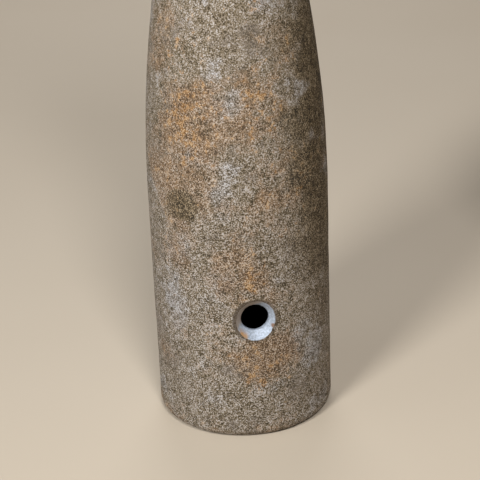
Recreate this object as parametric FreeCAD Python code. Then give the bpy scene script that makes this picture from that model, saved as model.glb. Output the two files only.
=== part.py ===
import FreeCAD, Part
import math
import os

# A cast-iron mortar with its hollow iron pestle standing on end beside it.
# Origin: centre of the mortar's foot, on the surface both stand on. Millimetres, +Z up.

# Driving dimensions of the pestle
pestle_diameter = 50.8
pestle_height = 254.0
pestle_offset = 165.0        # the pestle's axis stands this far along -X
wall = 3.2
shoulder_drop = 4.2          # the hollow closes in this far below the tang's end
straight_height = 66.5       # the side is straight up to here, then draws in
ogive_radius = 348.0
ogive_top = 140.0
neck_arc_radius = 170.0
rim_round = 2.8
plug_thickness = 10.0
plug_chamfer = 0.4
shell_top = 165.0            # the shell ends here, against the handle's shoulder
tang_radius = 10.5
tang_bottom = 137.0
grip_radius = 16.5
grip_height = 228.0          # level of the grip's widest place
pin_radius = 2.5
pin_height = 150.0
pin_proud = 0.3

# The drilled and countersunk hole, whose axis points along -Y
hole_diameter = 7.94
hole_height = 37.4
sink_diameter = 12.2
sink_angle = 82.0
past_surface = 2.0           # how far the cutting shapes stand out of what they cut

# Driving dimensions of the mortar
foot_radius = 44.0
foot_height = 9.0
foot_round = 2.0
foot_step = 39.0
cove_middle = (33.9, 14.6)   # (radius, height) of the middle of the cove over the foot
waist_radius = 32.0
waist_height = 22.0
bead_radius = 3.0
bell_middle = (42.5, 42.0)
bell_radius = 47.0
bell_height = 62.0
side_middle = (51.0, 86.0)
lip_foot_radius = 58.0
lip_foot_height = 111.0
lip_middle = (61.6, 112.4)
lip_radius = 63.0
lip_start = 116.0            # the rim is upright from here
lip_round = 4.0
mortar_height = 125.0
mouth_radius = 56.0
mouth_round = 2.0
bowl_radius = 36.0
bowl_floor = 22.0
band_radius = 1.3
band_heights = [80.0, 87.0]

body_radius = pestle_diameter / 2
plug_radius = body_radius - wall
hole_radius = hole_diameter / 2
sink_radius = sink_diameter / 2


def at(point):
    # (radius, height) as a point in the XZ plane
    return FreeCAD.Vector(point[0], 0, point[1])


def line(start, end):
    return Part.LineSegment(at(start), at(end)).toShape()


def arc(start, middle, end):
    return Part.Arc(at(start), at(middle), at(end)).toShape()


def on_circle(centre, radius, angle):
    return (centre[0] + radius * math.cos(angle), centre[1] + radius * math.sin(angle))


def arc_about(centre, radius, start_angle, end_angle):
    middle_angle = (start_angle + end_angle) / 2
    points = [on_circle(centre, radius, a) for a in (start_angle, middle_angle, end_angle)]
    return arc(*points)


def turned(edges):
    """The solid that a closed half profile makes when it is turned about Z."""
    face = Part.Face(Part.Wire(edges))
    return face.revolve(FreeCAD.Vector(0, 0, 0), FreeCAD.Vector(0, 0, 1), 360)


# The pestle's outer line: straight side, ogive, then the hollow curve of the neck
ogive_centre = (body_radius - ogive_radius, straight_height)
ogive_angle = math.asin((ogive_top - straight_height) / ogive_radius)
ogive_end = on_circle(ogive_centre, ogive_radius, ogive_angle)
neck_centre = (ogive_end[0] + neck_arc_radius * math.cos(ogive_angle),
               ogive_end[1] + neck_arc_radius * math.sin(ogive_angle))
neck_radius = neck_centre[0] - neck_arc_radius
neck_height = neck_centre[1]
seam_angle = math.pi + math.asin((neck_height - shell_top) / neck_arc_radius)
seam = on_circle(neck_centre, neck_arc_radius, seam_angle)


def neck_radius_at(height):
    """The outer radius of the pestle's neck curve at a height."""
    return neck_centre[0] - math.sqrt(neck_arc_radius ** 2 - (neck_height - height) ** 2)


def hole_tool():
    """The drill and the countersink, cutting the front wall only."""
    toward_front = FreeCAD.Vector(0, -1, 0)
    drill = Part.makeCylinder(hole_radius, body_radius,
                              FreeCAD.Vector(0, 0, hole_height), toward_front)
    slope = math.tan(math.radians(sink_angle / 2))
    sink_depth = (sink_radius - hole_radius) / slope
    sink = Part.makeCone(hole_radius, sink_radius + past_surface * slope, sink_depth + past_surface,
                         FreeCAD.Vector(0, sink_depth - body_radius, hole_height), toward_front)
    return drill.fuse(sink)


def pin_tool(half_length):
    return Part.makeCylinder(pin_radius, 2 * half_length,
                             FreeCAD.Vector(-half_length, 0, pin_height), FreeCAD.Vector(1, 0, 0))


def pestle_shell():
    inner_radius = ogive_radius - wall
    shoulder_height = tang_bottom - shoulder_drop
    shoulder_angle = math.asin((shoulder_height - straight_height) / inner_radius)
    shoulder = on_circle(ogive_centre, inner_radius, shoulder_angle)
    profile = [
        line((plug_radius, 0), (body_radius - rim_round, 0)),
        arc_about((body_radius - rim_round, rim_round), rim_round, -math.pi / 2, 0),
        line((body_radius, rim_round), (body_radius, straight_height)),
        arc_about(ogive_centre, ogive_radius, 0, ogive_angle),
        arc_about(neck_centre, neck_arc_radius, math.pi + ogive_angle, seam_angle),
        line(seam, (tang_radius, shell_top)),
        line((tang_radius, shell_top), (tang_radius, tang_bottom)),
        line((tang_radius, tang_bottom), shoulder),
        arc_about(ogive_centre, inner_radius, shoulder_angle, 0),
        line((plug_radius, straight_height), (plug_radius, 0)),
    ]
    return turned(profile).cut(hole_tool()).cut(pin_tool(body_radius))


def pestle_face_plug():
    plug = Part.makeCylinder(plug_radius, plug_thickness)
    lower_edge = [edge for edge in plug.Edges
                  if edge.BoundBox.ZMax < 0.01 and edge.BoundBox.XLength > plug_radius]
    return plug.makeChamfer(plug_chamfer, lower_edge)


def pestle_handle():
    rise = grip_height - neck_height
    swell = grip_radius - neck_radius
    turn = 2 * math.atan(swell / rise)
    swell_arc = rise / (2 * math.sin(turn))       # the two equal arcs of the grip's S curve
    hollow_centre = (neck_radius + swell_arc, neck_height)
    crown_centre = (grip_radius - swell_arc, grip_height)
    end_centre = (0, pestle_height - grip_radius)
    profile = [
        line((0, tang_bottom), (tang_radius, tang_bottom)),
        line((tang_radius, tang_bottom), (tang_radius, shell_top)),
        line((tang_radius, shell_top), seam),
        arc_about(neck_centre, neck_arc_radius, seam_angle, math.pi),
        arc_about(hollow_centre, swell_arc, math.pi, math.pi - turn),
        arc_about(crown_centre, swell_arc, -turn, 0),
        line((grip_radius, grip_height), (grip_radius, end_centre[1])),
        arc_about(end_centre, grip_radius, 0, math.pi / 2),
        line((0, pestle_height), (0, tang_bottom)),
    ]
    return turned(profile).cut(pin_tool(body_radius))


def handle_pin():
    pin = pin_tool(neck_radius_at(pin_height) + pin_proud)
    ends = [edge for edge in pin.Edges if edge.BoundBox.XLength < 0.01]
    return pin.makeChamfer(pin_proud, ends)


def mortar():
    # Outer line, from the foot up
    foot_flat = foot_radius - foot_round
    bead_height = waist_height + bead_radius
    bell_foot = waist_height + 2 * bead_radius
    lip_shoulder = mortar_height - lip_round
    side = arc((bell_radius, bell_height), side_middle, (lip_foot_radius, lip_foot_height))
    mouth_centre = (mouth_radius + mouth_round, mortar_height - mouth_round)
    outside = [
        line((0, 0), (foot_flat, 0)),
        arc_about((foot_flat, foot_round), foot_round, -math.pi / 2, 0),
        line((foot_radius, foot_round), (foot_radius, foot_height - foot_round)),
        arc_about((foot_flat, foot_height - foot_round), foot_round, 0, math.pi / 2),
        line((foot_flat, foot_height), (foot_step, foot_height)),
        arc((foot_step, foot_height), cove_middle, (waist_radius, waist_height)),
        arc_about((waist_radius, bead_height), bead_radius, -math.pi / 2, math.pi / 2),
        arc((waist_radius, bell_foot), bell_middle, (bell_radius, bell_height)),
        side,
        arc((lip_foot_radius, lip_foot_height), lip_middle, (lip_radius, lip_start)),
        line((lip_radius, lip_start), (lip_radius, lip_shoulder)),
        arc_about((lip_radius - lip_round, lip_shoulder), lip_round, 0, math.pi / 2),
        line((lip_radius - lip_round, mortar_height), (mouth_radius + mouth_round, mortar_height)),
        arc_about(mouth_centre, mouth_round, math.pi / 2, math.pi),
    ]
    # Bowl: a flaring side that meets a round bottom
    side_height = bowl_floor + bowl_radius
    side_top = mortar_height - mouth_round
    flare = mouth_radius - bowl_radius
    flare_radius = (flare ** 2 + (side_top - side_height) ** 2) / (2 * flare)
    flare_centre = (bowl_radius + flare_radius, side_height)
    flare_angle = math.pi - math.asin((side_top - side_height) / flare_radius)
    inside = [
        arc_about(flare_centre, flare_radius, flare_angle, math.pi),
        arc_about((0, side_height), bowl_radius, 0, -math.pi / 2),
        line((0, bowl_floor), (0, 0)),
    ]
    body = turned(outside + inside)
    # Two raised bands, each centred on the flaring side's arc
    for height in band_heights:
        rise = height - side.Curve.Center.z
        surface_radius = side.Curve.Center.x - math.sqrt(side.Curve.Radius ** 2 - rise ** 2)
        body = body.fuse(Part.makeTorus(surface_radius, band_radius, FreeCAD.Vector(0, 0, height)))
    return body


beside = FreeCAD.Vector(-pestle_offset, 0, 0)
nodes = {
    "mortar": mortar(),
    "pestle_shell": pestle_shell().translated(beside),
    "pestle_face_plug": pestle_face_plug().translated(beside),
    "pestle_handle": pestle_handle().translated(beside),
    "handle_pin": handle_pin().translated(beside),
}

os.makedirs("parts", exist_ok=True)
for name, shape in nodes.items():
    solid = shape.Solids[0]
    solid.exportStep("parts/" + name + ".step")
    print(name, "valid", solid.isValid(), "solids", len(shape.Solids), "volume_mm3", round(solid.Volume))
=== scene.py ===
import math

import bpy
from mathutils import Matrix, Vector


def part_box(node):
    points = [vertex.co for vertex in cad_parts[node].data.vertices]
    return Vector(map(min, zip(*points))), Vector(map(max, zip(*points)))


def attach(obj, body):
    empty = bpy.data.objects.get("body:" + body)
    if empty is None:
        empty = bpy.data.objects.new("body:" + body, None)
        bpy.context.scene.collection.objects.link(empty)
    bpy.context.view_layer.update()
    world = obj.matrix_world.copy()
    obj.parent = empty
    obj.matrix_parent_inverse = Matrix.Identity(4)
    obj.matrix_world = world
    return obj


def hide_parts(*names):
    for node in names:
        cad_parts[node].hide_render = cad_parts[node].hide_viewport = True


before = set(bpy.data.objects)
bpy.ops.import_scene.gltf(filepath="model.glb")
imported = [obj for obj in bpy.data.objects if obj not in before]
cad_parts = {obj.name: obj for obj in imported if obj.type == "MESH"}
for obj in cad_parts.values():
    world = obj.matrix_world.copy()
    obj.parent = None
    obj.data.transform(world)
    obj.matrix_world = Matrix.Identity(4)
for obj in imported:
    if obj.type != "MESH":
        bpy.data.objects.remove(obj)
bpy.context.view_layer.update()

mm = 0.001


# helpers for edit mode work

def clearSelection():
    bpy.ops.object.select_all(action="DESELECT")


def workOn(piece):
    clearSelection()
    piece.select_set(True)
    bpy.context.view_layer.objects.active = piece


def straight(start, end, step):
    # points from start up to, but not on, end
    count = max(1, round(math.dist(start, end) / step))
    return [(start[0] + (end[0] - start[0]) * i / count, start[1] + (end[1] - start[1]) * i / count)
            for i in range(count)]


def curved(centre, radius, start, end, step):
    # points on an arc, angles in radians, up to but not on its end
    count = max(1, math.ceil(abs(end - start) * radius / step))
    return [(centre[0] + radius * math.cos(start + (end - start) * i / count),
             centre[1] + radius * math.sin(start + (end - start) * i / count)) for i in range(count)]


def lathe(name, outline, turns, axis):
    # a plane merged to one point, drawn out along the outline and spun about a vertical axis
    first = outline[0]
    bpy.ops.mesh.primitive_plane_add(size=mm, location=(axis.x + first[0], axis.y, first[1]))
    piece = bpy.context.object
    piece.name = name
    bpy.ops.object.mode_set(mode="EDIT")
    bpy.ops.mesh.select_all(action="SELECT")
    bpy.ops.mesh.merge(type="CENTER")
    for before, after in zip(outline, outline[1:]):
        shift = (after[0] - before[0], 0, after[1] - before[1])
        bpy.ops.mesh.extrude_region_move(TRANSFORM_OT_translate={"value": shift})
    bpy.ops.mesh.select_all(action="SELECT")
    bpy.ops.mesh.spin(steps=turns, angle=2 * math.pi, center=(axis.x, axis.y, 0), axis=(0, 0, 1))
    bpy.ops.mesh.select_all(action="SELECT")
    bpy.ops.mesh.remove_doubles(threshold=0.002 * mm)
    bpy.ops.mesh.normals_make_consistent(inside=False)
    bpy.ops.object.mode_set(mode="OBJECT")
    bpy.ops.object.transform_apply(location=True, rotation=True, scale=True)
    return piece


def roughen(piece, group, size, depth, contrast, brightness=1.0, markPits=False):
    # eats the skin away inwards, where the vertex group allows it; pits are marked for the finish
    before = [vertex.co.copy() for vertex in piece.data.vertices] if markPits else None
    pattern = bpy.data.textures.new(piece.name + "Pattern", type="CLOUDS")
    pattern.noise_scale = size
    pattern.noise_depth = 2
    pattern.contrast = contrast
    pattern.intensity = brightness
    pattern.use_clamp = True
    eaten = piece.modifiers.new("eaten", "DISPLACE")
    eaten.texture = pattern
    eaten.texture_coords = "LOCAL"
    eaten.mid_level = 0
    eaten.strength = -depth
    if group:
        eaten.vertex_group = group
    workOn(piece)
    bpy.ops.object.modifier_apply(modifier=eaten.name)
    if markPits:
        marks = piece.data.attributes.new("pitDepth", "FLOAT", "POINT")
        marks.data.foreach_set("value", [(vertex.co - start).length / depth
                                         for vertex, start in zip(piece.data.vertices, before)])


def cutWith(piece, cutter):
    cut = piece.modifiers.new("cut", "BOOLEAN")
    cut.operation = "DIFFERENCE"
    cut.solver = "EXACT"
    cut.material_mode = "TRANSFER"
    cut.object = cutter
    workOn(piece)
    bpy.ops.object.modifier_apply(modifier=cut.name)
    bpy.data.objects.remove(cutter)


def groupWhere(piece, name, test):
    # a vertex group of the points that pass the test, with the weight it returns
    group = piece.vertex_groups.new(name=name)
    for vertex in piece.data.vertices:
        weight = test(vertex.co)
        if weight > 0:
            group.add([vertex.index], weight, "REPLACE")
    return name


# shader maths: a Value is a socket that adds its own Math nodes

class Value:
    def __init__(self, sheet, socket):
        self.sheet = sheet
        self.socket = socket

    def maths(self, operation, *others):
        inputs = {i: v for i, v in enumerate((self,) + others)}
        return self.sheet.add("ShaderNodeMath", {"operation": operation}, inputs)

    def __add__(self, other):
        return self.maths("ADD", other)

    def __sub__(self, other):
        return self.maths("SUBTRACT", other)

    def __mul__(self, other):
        return self.maths("MULTIPLY", other)

    def __rsub__(self, other):
        return self.sheet.add("ShaderNodeMath", {"operation": "SUBTRACT"}, {0: other, 1: self})

    __radd__ = __add__

    def larger(self, other):
        return self.maths("MAXIMUM", other)

    def between(self, low, high):
        # 0 below low, 1 above high, smooth in between; low may be the larger
        return self.sheet.add("ShaderNodeMapRange", {"interpolation_type": "SMOOTHSTEP"},
                              {"Value": self, "From Min": low, "From Max": high})


class Sheet:
    def __init__(self, name):
        self.material = bpy.data.materials.new(name)
        self.material.use_nodes = True
        self.tree = self.material.node_tree
        self.tree.nodes.clear()

    def add(self, kind, settings=None, inputs=None, output=0):
        node = self.tree.nodes.new(kind)
        for key, value in (settings or {}).items():
            if key == "stops":
                ramp = node.color_ramp.elements
                while len(ramp) < len(value):
                    ramp.new(0.5)
                for stop, (place, colour) in zip(ramp, value):
                    stop.position = place
                    stop.color = (*colour, 1)
            else:
                setattr(node, key, value)
        for key, value in (inputs or {}).items():
            if isinstance(value, Value):
                self.tree.links.new(value.socket, node.inputs[key])
            else:
                node.inputs[key].default_value = value
        if node.outputs:
            return Value(self, node.outputs[output])

    def mix(self, factor, first, second):
        # two colours, or a colour and a linked colour
        def colour(value):
            return value if isinstance(value, Value) else (*value, 1)
        return self.add("ShaderNodeMix", {"data_type": "RGBA"},
                        {0: factor, 6: colour(first), 7: colour(second)}, output=2)

    def noise(self, place, scale, detail, roughness):
        return self.add("ShaderNodeTexNoise", {"noise_dimensions": "3D"},
                        {"Vector": place, "Scale": scale, "Detail": detail, "Roughness": roughness})

    def cells(self, place, scale):
        # small cells, each with one random shade
        return self.add("ShaderNodeTexVoronoi", {"feature": "F1"}, {"Vector": place, "Scale": scale},
                        output=1)

    def along(self, place, direction):
        # how far a place lies in a direction
        return self.add("ShaderNodeVectorMath", {"operation": "DOT_PRODUCT"}, {0: place, 1: direction},
                        output=1)

    def offset(self, place, shift):
        return self.add("ShaderNodeVectorMath", {"operation": "ADD"}, {0: place, 1: shift})

    def spot(self, place, centre, size):
        # distance from a centre, where 1 is the edge of an ellipsoid of that half size
        away = self.add("ShaderNodeVectorMath", {"operation": "SUBTRACT"}, {0: place, 1: centre})
        scaled = self.add("ShaderNodeVectorMath", {"operation": "DIVIDE"}, {0: away, 1: size})
        return self.add("ShaderNodeVectorMath", {"operation": "LENGTH"}, {0: scaled}, output=1)

    def finish(self, shaderInputs, bump=None):
        inputs = dict(shaderInputs)
        if bump:
            height, distance, strength = bump
            inputs["Normal"] = self.add("ShaderNodeBump", None,
                                        {"Strength": strength, "Distance": distance, "Height": height})
        shader = self.add("ShaderNodeBsdfPrincipled", None, inputs)
        self.add("ShaderNodeOutputMaterial", None, {"Surface": shader})
        return self.material


# the pestle

pestleLow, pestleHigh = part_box("pestle_shell")
handleLow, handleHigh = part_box("pestle_handle")
plugLow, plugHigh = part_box("pestle_face_plug")
pinLow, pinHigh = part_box("handle_pin")
pestleAxis = Vector(((pestleLow.x + pestleHigh.x) / 2, 0, 0))

pestle = {
    "radius": (pestleHigh.x - pestleLow.x) / 2,
    "plugRadius": (plugHigh.x - plugLow.x) / 2,
    "rimRound": 2.8 * mm,
    "straightHeight": 66.5 * mm,
    "ogiveRadius": 348 * mm,
    "ogiveTop": 140 * mm,
    "neckArc": 170 * mm,
    "shellTop": pestleHigh.z,
    "tangRadius": 10.5 * mm,
    "tangBottom": handleLow.z,
    "gripRadius": (handleHigh.x - handleLow.x) / 2,
    "gripHeight": 228 * mm,
    "top": handleHigh.z,
    "skinStep": 0.735 * mm,
    "innerStep": 8 * mm,
    "turns": 384,
    "holeHeight": 37.4 * mm,
    "holeRadius": 3.97 * mm,
    "sinkRadius": 6.1 * mm,
    "sinkAngle": 82,
    "cutterTurns": 96,
    "cutterStep": 0.35 * mm,
    "pinHoleTurns": 64,
    "groove": 0.35 * mm,      # of the seam between shell and handle
    "plugChamfer": 0.4 * mm,
    "plugTurns": 160,
    "gripStep": 0.9 * mm,
    "gripTurns": 256,
    "pinEdge": 0.3 * mm,
    "pinTurns": 48,
    # each wear: its pattern's size, its depth, then the pattern's contrast and brightness
    "waves": (11 * mm, 0.16 * mm, 1.5),
    "pits": (1.3 * mm, 0.22 * mm, 4.5, 0.05),
    "holeWear": (1.6 * mm, 0.10 * mm, 1.4),
    "facePits": (2.6 * mm, 0.30 * mm, 3.5, 0.3),
    "pinPits": (1.2 * mm, 0.18 * mm, 1.8, 1.0),
}
pestle["wall"] = pestle["radius"] - pestle["plugRadius"]

ogiveCentre = (pestle["radius"] - pestle["ogiveRadius"], pestle["straightHeight"])
ogiveAngle = math.asin((pestle["ogiveTop"] - pestle["straightHeight"]) / pestle["ogiveRadius"])
neckCentre = (ogiveCentre[0] + (pestle["ogiveRadius"] + pestle["neckArc"]) * math.cos(ogiveAngle),
              ogiveCentre[1] + (pestle["ogiveRadius"] + pestle["neckArc"]) * math.sin(ogiveAngle))


def skinRadius(height):
    # the pestle's outer radius at a height, up to the seam with the handle
    if height < pestle["straightHeight"]:
        return pestle["radius"]
    if height < pestle["ogiveTop"]:
        rise = height - pestle["straightHeight"]
        return ogiveCentre[0] + math.sqrt(pestle["ogiveRadius"] ** 2 - rise ** 2)
    return neckCentre[0] - math.sqrt(pestle["neckArc"] ** 2 - (neckCentre[1] - height) ** 2)


def shellOutline():
    step = pestle["skinStep"]
    wall = pestle["wall"]
    rim = pestle["rimRound"]
    radius = pestle["radius"]
    seam = (skinRadius(pestle["shellTop"]), pestle["shellTop"])
    groove = pestle["groove"]
    innerRadius = pestle["ogiveRadius"] - wall
    shoulderHeight = pestle["tangBottom"] - wall - mm
    shoulderAngle = math.asin((shoulderHeight - pestle["straightHeight"]) / innerRadius)
    shoulder = (ogiveCentre[0] + innerRadius * math.cos(shoulderAngle), shoulderHeight)
    grooveAngle = math.pi + math.asin((neckCentre[1] - seam[1] + groove) / pestle["neckArc"])
    mouth = (pestle["plugRadius"], 0)
    points = [mouth, (radius - rim, 0)]
    points += curved((radius - rim, rim), rim, -math.pi / 2, 0, step * 0.8)[1:]
    points += straight((radius, rim), (radius, pestle["straightHeight"]), step)
    points += curved(ogiveCentre, pestle["ogiveRadius"], 0, ogiveAngle, step)
    points += curved(neckCentre, pestle["neckArc"], math.pi + ogiveAngle, grooveAngle, step)
    points += straight((skinRadius(seam[1] - groove), seam[1] - groove), (seam[0] - groove, seam[1]), step)
    points += [(seam[0] - groove, seam[1]), (pestle["tangRadius"], seam[1])]
    points += [(pestle["tangRadius"], pestle["tangBottom"]), shoulder]
    points += curved(ogiveCentre, innerRadius, shoulderAngle, 0, pestle["innerStep"])[1:]
    points += straight((pestle["plugRadius"], pestle["straightHeight"]), mouth, pestle["innerStep"])
    return points + [mouth]


def layAlong(piece, axis, place):
    # turns an upright piece so that its +Z points along the axis, and moves it to its place
    piece.rotation_euler = Vector((0, 0, 1)).rotation_difference(Vector(axis)).to_euler()
    piece.location = place
    workOn(piece)
    bpy.ops.object.transform_apply(location=True, rotation=True, scale=True)


def holeCutter():
    slope = math.tan(math.radians(pestle["sinkAngle"] / 2))
    sinkStart = pestle["radius"] - (pestle["sinkRadius"] - pestle["holeRadius"]) / slope
    proud = 2 * mm
    outside = pestle["radius"] + proud
    mouth = pestle["sinkRadius"] + proud * slope
    inside = pestle["plugRadius"] - 3 * proud
    step = pestle["cutterStep"]
    points = [(0, inside), (pestle["holeRadius"], inside)]
    points += straight((pestle["holeRadius"], inside + mm), (pestle["holeRadius"], sinkStart), step)
    points += straight((pestle["holeRadius"], sinkStart), (mouth, outside), step)
    points += [(mouth, outside), (0, outside)]
    cutter = lathe("holeCutter", points, pestle["cutterTurns"], Vector((0, 0, 0)))
    roughen(cutter, None, *pestle["holeWear"])
    layAlong(cutter, (0, -1, 0), (pestleAxis.x, 0, pestle["holeHeight"]))
    return cutter


def pinCutter():
    bpy.ops.mesh.primitive_cylinder_add(vertices=pestle["pinHoleTurns"], radius=(pinHigh.z - pinLow.z) / 2,
                                        depth=4 * pestle["tangRadius"])
    cutter = bpy.context.object
    layAlong(cutter, (1, 0, 0), (pestleAxis.x, 0, (pinLow.z + pinHigh.z) / 2))
    return cutter


def makeShell(iron, bright, dark):
    shell = lathe("pestleShell", shellOutline(), pestle["turns"], pestleAxis)
    print("pestle shell spun:", len(shell.data.polygons), "faces")
    seamRoom = 0.8 * mm

    def onSkin(point):
        across = math.hypot(point.x - pestleAxis.x, point.y)
        if across < pestle["plugRadius"] + 0.3 * mm and point.z < pestle["straightHeight"]:
            return 0
        if across < skinRadius(point.z) - pestle["wall"] / 2:
            return 0
        return min(1, max(0, (pestle["shellTop"] - point.z) / seamRoom - 0.5))

    skin = groupWhere(shell, "skin", onSkin)
    roughen(shell, skin, *pestle["waves"])
    roughen(shell, skin, *pestle["pits"], markPits=True)
    for material in (iron, bright, dark):
        shell.data.materials.append(material)
    # faces inside the hollow get the near-black painted shade
    for face in shell.data.polygons:
        middle = face.center
        across = math.hypot(middle.x - pestleAxis.x, middle.y)
        if middle.z < pestle["shellTop"] - mm and across < skinRadius(middle.z) - pestle["wall"] * 0.6:
            face.material_index = 2
    cutter = holeCutter()
    cutter.data.materials.append(bright)
    cutWith(shell, cutter)
    pinHole = pinCutter()
    pinHole.data.materials.append(iron)
    cutWith(shell, pinHole)
    return shell


def makePlug(iron):
    radius = pestle["plugRadius"]
    chamfer = pestle["plugChamfer"]
    top = plugHigh.z
    points = straight((0, 0), (radius - chamfer, 0), mm)
    points += straight((radius - chamfer, 0), (radius, chamfer), mm)
    points += [(radius, chamfer), (radius, top), (0, top)]
    plug = lathe("pestleFacePlug", points, pestle["plugTurns"], pestleAxis)
    face = groupWhere(plug, "face", lambda point: 1 if point.z < chamfer / 2 else 0)
    roughen(plug, face, *pestle["facePits"], markPits=True)
    plug.data.materials.append(iron)
    return plug


def makeHandle(iron):
    step = pestle["gripStep"]
    seam = (skinRadius(pestle["shellTop"]), pestle["shellTop"])
    groove = pestle["groove"]
    neckRadius = neckCentre[0] - pestle["neckArc"]
    turn = 2 * math.atan((pestle["gripRadius"] - neckRadius) / (pestle["gripHeight"] - neckCentre[1]))
    swell = (pestle["gripHeight"] - neckCentre[1]) / (2 * math.sin(turn))
    endCentre = (0, pestle["top"] - pestle["gripRadius"])
    grooveTop = (skinRadius(seam[1] + groove), seam[1] + groove)
    grooveAngle = math.pi + math.asin((neckCentre[1] - grooveTop[1]) / pestle["neckArc"])
    points = [(0, pestle["tangBottom"]), (pestle["tangRadius"], pestle["tangBottom"])]
    points += [(pestle["tangRadius"], seam[1]), (seam[0] - groove, seam[1])]
    points += curved(neckCentre, pestle["neckArc"], grooveAngle, math.pi, step)
    points += curved((neckRadius + swell, neckCentre[1]), swell, math.pi, math.pi - turn, step)
    points += curved((pestle["gripRadius"] - swell, pestle["gripHeight"]), swell, -turn, 0, step)
    points += straight((pestle["gripRadius"], pestle["gripHeight"]),
                       (pestle["gripRadius"], endCentre[1]), step)
    points += curved(endCentre, pestle["gripRadius"], 0, math.pi / 2, step) + [(0, pestle["top"])]
    handle = lathe("pestleHandle", points, pestle["gripTurns"], pestleAxis)

    def onGrip(point):
        across = math.hypot(point.x - pestleAxis.x, point.y)
        if point.z < seam[1] + groove or (across < pestle["tangRadius"] and point.z < pestle["gripHeight"]):
            return 0
        return min(1, (point.z - seam[1] - groove) / (2 * mm))

    grip = groupWhere(handle, "grip", onGrip)
    roughen(handle, grip, *pestle["waves"])
    roughen(handle, grip, *pestle["pits"], markPits=True)
    handle.data.materials.append(iron)
    pinHole = pinCutter()
    pinHole.data.materials.append(iron)
    cutWith(handle, pinHole)
    return handle


def makePin(iron):
    radius = (pinHigh.z - pinLow.z) / 2
    half = (pinHigh.x - pinLow.x) / 2
    edge = pestle["pinEdge"]
    step = pestle["cutterStep"]
    points = straight((0, -half), (radius - edge, -half), step)
    points += straight((radius - edge, -half), (radius, edge - half), step)
    points += straight((radius, edge - half), (radius, half - edge), 2 * mm)
    points += straight((radius, half - edge), (radius - edge, half), step)
    points += straight((radius - edge, half), (0, half), step) + [(0, half)]
    pin = lathe("handlePin", points, pestle["pinTurns"], Vector((0, 0, 0)))
    ends = groupWhere(pin, "ends", lambda point: 1 if abs(point.z) > half - edge / 2 else 0)
    roughen(pin, ends, *pestle["pinPits"], markPits=True)
    layAlong(pin, (1, 0, 0), (pestleAxis.x, 0, (pinLow.z + pinHigh.z) / 2))
    pin.data.materials.append(iron)
    return pin


# the mortar

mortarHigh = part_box("mortar")[1]
mortar = {
    "height": mortarHigh.z,
    "lipRadius": mortarHigh.x,
    "footRadius": 44 * mm,
    "footHeight": 9 * mm,
    "footRound": 2 * mm,
    "footStep": 39 * mm,
    "waistRadius": 32 * mm,
    "waistHeight": 22 * mm,
    "beadRadius": 3 * mm,
    "bellRadius": 47 * mm,
    "bellHeight": 62 * mm,
    "lipFootRadius": 58 * mm,
    "lipFootHeight": 111 * mm,
    "lipRound": 4 * mm,
    "mouthRadius": 56 * mm,
    "mouthRound": 2 * mm,
    "bowlRadius": 36 * mm,
    "bowlFloor": 22 * mm,
    "bandRadius": 1.3 * mm,
    "bandHeights": (80 * mm, 87 * mm),
    "step": 1.35 * mm,
    "turns": 300,
    "waves": (16 * mm, 0.40 * mm, 1.5),
    "pits": (2.4 * mm, 0.42 * mm, 4.0, 0.25),
    "bowlWear": 0.12,         # share of the wear that the smooth bowl floor gets
    "bowlFade": 40 * mm,      # height over which the wear comes back
}


def through(start, middle, end, step):
    # points on the arc through three points, up to but not on its end
    (ax, ay), (bx, by), (cx, cy) = start, middle, end
    turn = 2 * (ax * (by - cy) + bx * (cy - ay) + cx * (ay - by))
    a, b, c = ax * ax + ay * ay, bx * bx + by * by, cx * cx + cy * cy
    centre = ((a * (by - cy) + b * (cy - ay) + c * (ay - by)) / turn,
              (a * (cx - bx) + b * (ax - cx) + c * (bx - ax)) / turn)
    angles = [math.atan2(y - centre[1], x - centre[0]) for x, y in (start, end)]
    if centre[0] > ax and centre[0] > cx:      # the arc is on its circle's far side from +X
        angles = [angle % (2 * math.pi) for angle in angles]
    return curved(centre, math.dist(centre, start), angles[0], angles[1], step)


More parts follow.
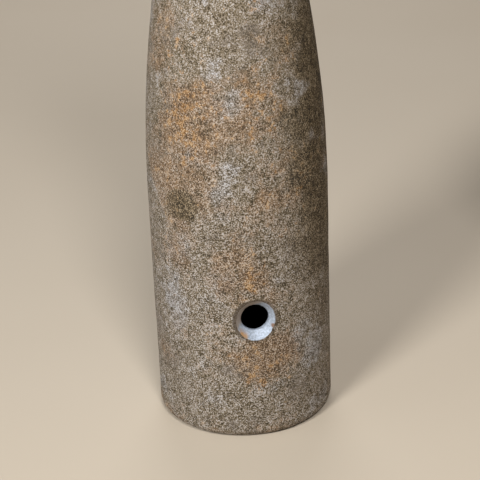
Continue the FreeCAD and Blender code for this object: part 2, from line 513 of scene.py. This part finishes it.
def mortarOutline():
    m = mortar
    step = m["step"]
    quarter = math.pi / 2
    foot = m["footRadius"] - m["footRound"]
    beadCentre = m["waistHeight"] + m["beadRadius"]
    bellFoot = m["waistHeight"] + 2 * m["beadRadius"]
    sideHeight = m["bowlFloor"] + m["bowlRadius"]
    sideTop = m["height"] - m["mouthRound"]
    flare = m["mouthRadius"] - m["bowlRadius"]
    flareRadius = (flare ** 2 + (sideTop - sideHeight) ** 2) / (2 * flare)
    flareAngle = math.pi - math.asin((sideTop - sideHeight) / flareRadius)
    points = straight((0, 0), (foot, 0), 3 * step)
    points += curved((foot, m["footRound"]), m["footRound"], -quarter, 0, step / 2)
    points += straight((m["footRadius"], m["footRound"]),
                       (m["footRadius"], m["footHeight"] - m["footRound"]), step)
    points += curved((foot, m["footHeight"] - m["footRound"]), m["footRound"], 0, quarter, step / 2)
    points += straight((foot, m["footHeight"]), (m["footStep"], m["footHeight"]), step)
    points += through((m["footStep"], m["footHeight"]),
                      (m["waistRadius"] + 1.9 * mm, m["footHeight"] + 5.6 * mm),
                      (m["waistRadius"], m["waistHeight"]), step)
    points += curved((m["waistRadius"], beadCentre), m["beadRadius"], -quarter, quarter, step / 2)
    points += through((m["waistRadius"], bellFoot), (m["bellRadius"] - 4.5 * mm, m["bellHeight"] - 20 * mm),
                      (m["bellRadius"], m["bellHeight"]), step)
    side = through((m["bellRadius"], m["bellHeight"]), (m["bellRadius"] + 4 * mm, m["bellHeight"] + 24 * mm),
                   (m["lipFootRadius"], m["lipFootHeight"]), step / 2.5)
    points += [(r + bandRise(z), z) for r, z in side]
    lipStart = m["lipFootHeight"] + 5 * mm
    points += through((m["lipFootRadius"], m["lipFootHeight"]),
                      (m["lipRadius"] - 1.4 * mm, m["lipFootHeight"] + 1.4 * mm),
                      (m["lipRadius"], lipStart), step / 2)
    points += straight((m["lipRadius"], lipStart), (m["lipRadius"], m["height"] - m["lipRound"]), step)
    points += curved((m["lipRadius"] - m["lipRound"], m["height"] - m["lipRound"]),
                     m["lipRound"], 0, quarter, step / 2)
    points += [(m["lipRadius"] - m["lipRound"], m["height"])]
    points += curved((m["mouthRadius"] + m["mouthRound"], sideTop),
                     m["mouthRound"], quarter, math.pi, step / 2)
    points += curved((m["bowlRadius"] + flareRadius, sideHeight),
                     flareRadius, flareAngle, math.pi, step)
    points += curved((0, sideHeight), m["bowlRadius"], 0, -quarter, step)
    return points + [(0, m["bowlFloor"])]


def bandRise(height):
    # how far the two raised bands stand out of the side at a height
    near = min(abs(height - band) for band in mortar["bandHeights"])
    return math.sqrt(max(0, mortar["bandRadius"] ** 2 - near ** 2))


def makeMortar(iron):
    piece = lathe("mortarCasting", mortarOutline(), mortar["turns"], Vector((0, 0, 0)))
    print("mortar spun:", len(piece.data.polygons), "faces")
    centre = Vector((0, 0, mortar["bowlFloor"] + mortar["bowlRadius"]))

    def outside(point):
        # the skin but not the ground-smooth lower bowl
        nearAxis = math.hypot(point.x, point.y) < mortar["bowlRadius"] + mm
        if nearAxis and point.z > mortar["bowlFloor"] - mm:
            return max(mortar["bowlWear"], min(1, (point.z - centre.z) / mortar["bowlFade"]))
        return 1

    skin = groupWhere(piece, "skin", outside)
    roughen(piece, skin, *mortar["waves"])
    roughen(piece, skin, *mortar["pits"], markPits=True)
    piece.data.materials.append(iron)
    return piece


# the finishes

def inMillimetres(sheet, origin):
    place = sheet.add("ShaderNodeTexCoord", output=3)
    return sheet.add("ShaderNodeMapping", {"vector_type": "POINT"},
                     {"Vector": place, "Location": tuple(-v / mm for v in origin), "Scale": (1 / mm,) * 3})


def onPestle(degrees, height, wide, tall):
    # a zone's centre on the skin and its half size in mm; degrees are positive towards +X
    turn = math.radians(degrees)
    radius = skinRadius(height * mm) / mm
    return (radius * math.sin(turn), -radius * math.cos(turn), height), (wide, wide, tall)


rustedIron = {
    "ironTones": ((0.30, (0.036, 0.025, 0.010)), (0.44, (0.158, 0.119, 0.070)),
                  (0.56, (0.242, 0.194, 0.140)), (0.72, (0.410, 0.374, 0.345))),
    "rustTones": ((0.30, (0.046, 0.024, 0.010)), (0.45, (0.176, 0.106, 0.054)),
                  (0.57, (0.264, 0.178, 0.106)), (0.72, (0.400, 0.330, 0.265))),
    "orangeTones": ((0.30, (0.060, 0.025, 0.006)), (0.44, (0.205, 0.093, 0.022)),
                    (0.57, (0.318, 0.168, 0.054)), (0.72, (0.440, 0.298, 0.155))),
    # pale tones, cool at the top: the metal's lighter patches, and painted light inside the pale zones
    "paleTones": ((0.30, (0.080, 0.065, 0.052)), (0.44, (0.232, 0.205, 0.178)),
                  (0.56, (0.330, 0.310, 0.294)), (0.72, (0.490, 0.495, 0.520))),
    # dark tones: random dark patches, and painted shade inside the large dark zone
    "darkTones": ((0.30, (0.012, 0.008, 0.003)), (0.45, (0.066, 0.044, 0.020)),
                  (0.57, (0.134, 0.094, 0.048)), (0.72, (0.300, 0.236, 0.155))),
    "plum": (0.150, 0.124, 0.105),
    # the tone of dark grit, and of painted shade in the pits and round the countersink
    "gritAndShadeTone": (0.055, 0.037, 0.022),
    "grain": 2.8,             # of the noise that makes the speckle, per mm
    "contrast": 1.42,
    "calmer": 0.38,           # contrast lost towards the top of the part
    "bump": 0.16,
    "wear": None,             # centre and half size of a place that is rubbed smooth, in mm
    # broad zones where a tone gathers:
    # degrees round from the hole, height, half width and half height in mm
    "zones": {
        "orange": ((0, 50, 5, 10), (10, 20, 10, 6), (10, 95, 8, 20), (-40, 100, 10, 30), (0, 130, 8, 10)),
        "rust": ((-40, 90, 14, 35), (10, 90, 10, 20), (-10, 50, 12, 10), (10, 25, 12, 10)),
        # the pale zones are painted light: a highlight band on the lit front, side light at the lower left
        # and bounce light at the lower right
        "pale": ((-15, 95, 8, 25), (-60, 40, 6, 25), (35, 25, 10, 15)),
        # the large dark zone at 60 degrees is painted shade down the side turned away from the key light
        "dark": ((60, 90, 18, 65), (-45, 70, 6, 6)),
    },
}


def zoneMask(sheet, place, zones):
    # how far a place is inside any of a tone's zones, and nothing where it has none
    mask = 0
    for degrees, height, wide, tall in zones:
        centre, size = onPestle(degrees, height, wide, tall)
        mask = sheet.spot(place, centre, size).between(1.3, 0.3).larger(mask)
    return mask


def makeIron(name, look, origin, drilled=False):
    sheet = Sheet(name)
    place = inMillimetres(sheet, origin)
    grain = sheet.noise(place, look["grain"], 1.0, 0.5)
    fine = sheet.cells(sheet.offset(place, (31, 7, 5)), look["grain"] * 1.25)
    flecks = sheet.noise(sheet.offset(place, (-7, 19, 3)), 0.55, 3, 0.65)
    coarse = sheet.noise(place, 0.16, 3, 0.6)
    wander = sheet.noise(sheet.offset(place, (11, 3, 40)), 0.05, 4, 0.62)
    tint = sheet.noise(sheet.offset(place, (-20, 9, 12)), 0.075, 3, 0.6)
    pitDepth = sheet.add("ShaderNodeAttribute", {"attribute_name": "pitDepth"}, output=2)
    height = sheet.add("ShaderNodeSeparateXYZ", inputs={0: place}, output=2)
    contrast = look["contrast"] - height.between(50, 110) * look["calmer"]
    speck = (grain + fine * 0.14 - 0.57) * contrast + 0.5
    speck = speck + (coarse - 0.5) * 0.20 + (flecks - 0.5) * 0.6
    tones = {key: sheet.add("ShaderNodeValToRGB", {"stops": look[key + "Tones"]}, {0: speck})
             for key in ("iron", "rust", "orange", "pale", "dark")}
    zones = {tone: zoneMask(sheet, place, look["zones"].get(tone, ()))
             for tone in ("pale", "rust", "orange", "dark")}
    # pale patches from noise; inside the pale zones they are painted light
    pale = (tint - (flecks - 0.5) * 0.25 - zones["pale"] * 0.10).between(0.46, 0.30)
    rust = (wander + (flecks - 0.5) * 0.35 + zones["rust"] * 0.12).between(0.50, 0.68)
    glow = (flecks + (wander - 0.5) * 0.6 + zones["orange"] * 0.11).between(0.64, 0.76)
    # dark patches from noise; inside the large dark zone they are painted shade
    dark = (tint + (flecks - 0.5) * 0.3 + zones["dark"] * 0.32).between(0.62, 0.74)
    pale = pale * (zones["pale"] * 0.2 + 0.55)
    rust = rust * (zones["rust"] * 0.1 + 0.8)
    glow = glow * (zones["orange"] * 0.15 + 0.65)
    dark = dark * (zones["dark"] * 0.5 + 0.5)
    base = sheet.mix(tint.between(0.52, 0.66) * 0.4, tones["iron"], look["plum"])
    base = sheet.mix(pale, base, tones["pale"])
    base = sheet.mix(rust, base, tones["rust"])
    base = sheet.mix(dark, base, tones["dark"])
    base = sheet.mix(glow, base, tones["orange"])
    # dark grit in random cells, and painted shade darkening the pits by their depth
    gritAndPitShade = fine.between(0.16, 0.05).larger(pitDepth.between(0.2, 0.8))
    base = sheet.mix(gritAndPitShade * 0.46, base, look["gritAndShadeTone"])
    rough = 0.88 - speck.between(0.50, 0.75) * 0.26
    relief = speck
    if look["wear"]:
        centre, size = look["wear"]
        worn = (sheet.spot(place, centre, size) + (coarse - 0.5) * 0.8).between(1.15, 0.55)
        base = sheet.mix(worn * 0.55, base, tones["pale"])
        rough = rough - worn * 0.28
        relief = relief - worn * speck * 0.6
    if drilled:
        # a thin dark ring round the countersink: painted shade of its rim, strongest at the upper left where
        # it faces away from the light
        hole = (0, -pestle["radius"] / mm, pestle["holeHeight"] / mm)
        away = sheet.spot(place, hole, (1, 4, 1)) + (flecks - 0.5) * 0.5
        side = sheet.along(place, (-0.7, 0, 0.7))
        rimShade = away.between(6.85, 6.25) * (0.5 + (side - 0.7 * hole[2]).between(-3, 4) * 0.35)
        base = sheet.mix(rimShade, base, look["gritAndShadeTone"])
    return sheet.finish({"Base Color": base, "Roughness": rough, "Metallic": 0.2},
                        bump=(relief, look["bump"] * mm, 0.8))


brightMetal = {
    "tones": ((0.27, 0.30, 0.34), (0.42, 0.47, 0.55)),
    # tan painted shade for the countersink's upper left, which faces away from the light
    "upperShade": (0.36, 0.275, 0.20),
    "rust": (0.48, 0.24, 0.06),
    "chip": (0.20, 0.12, 0.08),
    # across and up from the middle of the hole, then half sizes, in mm
    "rustPlace": (-3.9, -4.3, (2.0, 4, 1.8)),
    "chipPlace": (5.0, -2.3, (0.9, 4, 0.8)),
}


def makeBright(name, look, origin):
    # fresh-cut metal of the countersink, with a rust bloom at its lower left and painted shade, tinted tan,
    # at its upper left
    sheet = Sheet(name)
    place = inMillimetres(sheet, origin)
    holeHeight = pestle["holeHeight"] / mm

    def nearHole(across, up, size):
        return sheet.spot(place, (across, -pestle["radius"] / mm, holeHeight + up), size)

    scratch = sheet.noise(place, 2.2, 3, 0.6)
    cloud = sheet.noise(place, 0.5, 3, 0.6)
    tone = sheet.mix(scratch.between(0.35, 0.65), *look["tones"])
    # painted shade over the upper left of the countersink
    side = sheet.along(place, (-0.77, 0, 0.64))
    upperShade = (side - 0.64 * holeHeight + (cloud - 0.5) * 2).between(1.4, 3.2)
    tone = sheet.mix(upperShade * 0.8, tone, look["upperShade"])
    bloom = (nearHole(*look["rustPlace"]) + (cloud - 0.5) * 1.4).between(1.1, 0.4)
    tone = sheet.mix(bloom * 0.85, tone, look["rust"])
    tone = sheet.mix(nearHole(*look["chipPlace"]).between(1.2, 0.5), tone, look["chip"])
    return sheet.finish({"Base Color": tone, "Roughness": 0.46 + scratch * 0.2, "Metallic": 0.3},
                        bump=(scratch, 0.10 * mm, 0.6))


# near-black painted shade for the hollow inside of the shell, where no light reaches
def makeShadeInside(name):
    sheet = Sheet(name)
    place = inMillimetres(sheet, pestleAxis)
    flakes = sheet.noise(place, 0.6, 3, 0.6)
    tone = sheet.mix(flakes.between(0.35, 0.65), (0.008, 0.006, 0.004), (0.030, 0.020, 0.012))
    return sheet.finish({"Base Color": tone, "Roughness": 0.95}, bump=(flakes, 0.6 * mm, 0.6))


def makeFloor():
    bpy.ops.mesh.primitive_plane_add(size=6, location=(0, 0, 0))
    floor = bpy.context.object
    floor.name = "floor"
    sheet = Sheet("paleFloor")
    place = sheet.add("ShaderNodeTexCoord", output=3)
    cloud = sheet.noise(place, 6, 3, 0.5)
    tone = sheet.mix(cloud, (0.50, 0.42, 0.32), (0.55, 0.47, 0.37))
    floor.data.materials.append(sheet.finish({"Base Color": tone, "Roughness": 0.7}))


# light and camera

def softLight(name, azimuth, elevation, distance, size, power, colour, target):
    # azimuth 0 is the side of the hole, positive towards +X
    turn = math.radians(azimuth)
    rise = math.radians(elevation)
    away = Vector((math.sin(turn) * math.cos(rise), -math.cos(turn) * math.cos(rise), math.sin(rise)))
    spot = target + away * distance
    aim = (-away).to_track_quat("-Z", "Y").to_euler()
    bpy.ops.object.light_add(type="AREA", location=spot, rotation=aim)
    light = bpy.context.object
    light.name = name
    light.data.shape = "DISK"
    light.data.size = size
    light.data.energy = power
    light.data.color = colour


studio = {
    "aimHeight": 70 * mm,
    "creaseAngle": 40,
    "skyColour": (0.90, 0.74, 0.55),
    "skyStrength": 0.025,
    # each light: azimuth, elevation, distance, size, power and colour
    "keyLight": (-42, 34, 0.9, 0.22, 7.0, (0.96, 0.98, 1.0)),
    "frontLight": (2, 46, 0.9, 0.24, 5.8, (0.97, 0.98, 1.0)),
    "sideLight": (-85, 12, 0.9, 0.60, 1.6, (0.82, 0.90, 1.0)),
    "backLight": (172, 30, 1.0, 0.60, 3.2, (1.0, 0.98, 0.96)),
}
cameraSetting = {
    "heading": 8,             # degrees the camera stands round towards -X from the hole's axis
    "back": 390.5 * mm,
    "up": 228.6 * mm,
    "down": 24.5,
    "roll": -2.34,
    "lens": 112.5,
    "sensor": 36,
    "nearest": 10 * mm,
}


def makeCamera():
    c = cameraSetting
    turn = math.radians(c["heading"])
    spot = pestleAxis + Vector((-math.sin(turn) * c["back"], -math.cos(turn) * c["back"], c["up"]))
    aim = Matrix.Rotation(-turn, 3, "Z") @ Matrix.Rotation(math.radians(90 - c["down"]), 3, "X")
    aim = aim @ Matrix.Rotation(math.radians(c["roll"]), 3, "Z")
    bpy.ops.object.camera_add(location=spot, rotation=aim.to_euler())
    camera = bpy.context.object
    camera.data.lens = c["lens"]
    camera.data.sensor_width = c["sensor"]
    camera.data.clip_start = c["nearest"]
    bpy.context.scene.camera = camera


makeCamera()
print("camera set")
plain = dict(rustedIron, zones={})
pestleIron = makeIron("rustedPestleIron", rustedIron, pestleAxis, drilled=True)
handleIron = makeIron("wornHandleIron", dict(plain, wear=((0, 0, 222), (40, 40, 36))), pestleAxis)
mortarIron = makeIron("rustedMortarIron", dict(plain, grain=2.2, wear=((0, 0, 20), (34, 34, 30))),
                      Vector((0, 0, 0)))
brightCut = makeBright("freshCutMetal", brightMetal, pestleAxis)
darkInside = makeShadeInside("darkInside")
print("finishes made")

pieces = [
    (makeShell(pestleIron, brightCut, darkInside), "pestle", "pestle_shell", "pestle_iron"),
    (makePlug(pestleIron), "pestle", "pestle_face_plug", "plug_iron"),
    (makeHandle(handleIron), "pestle", "pestle_handle", "handle_iron"),
    (makePin(handleIron), "pestle", "handle_pin", "pin_iron"),
    (makeMortar(mortarIron), "mortar", "mortar", "mortar_iron"),
]
for piece, body, node, slot in pieces:
    workOn(piece)
    bpy.ops.object.shade_smooth_by_angle(angle=math.radians(studio["creaseAngle"]))
    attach(piece, body)
    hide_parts(node)
    print(piece.name, "made:", len(piece.data.polygons), "faces")
clearSelection()

makeFloor()
middle = pestleAxis + Vector((0, 0, studio["aimHeight"]))
for name in ("keyLight", "frontLight", "sideLight", "backLight"):
    softLight(name, *studio[name], middle)
world = bpy.data.worlds.new("studio")
bpy.context.scene.world = world
world.use_nodes = True
sky = world.node_tree.nodes["Background"].inputs
sky["Color"].default_value = (*studio["skyColour"], 1)
sky["Strength"].default_value = studio["skyStrength"]
bpy.context.scene.view_settings.view_transform = "Standard"
print("stage lit")
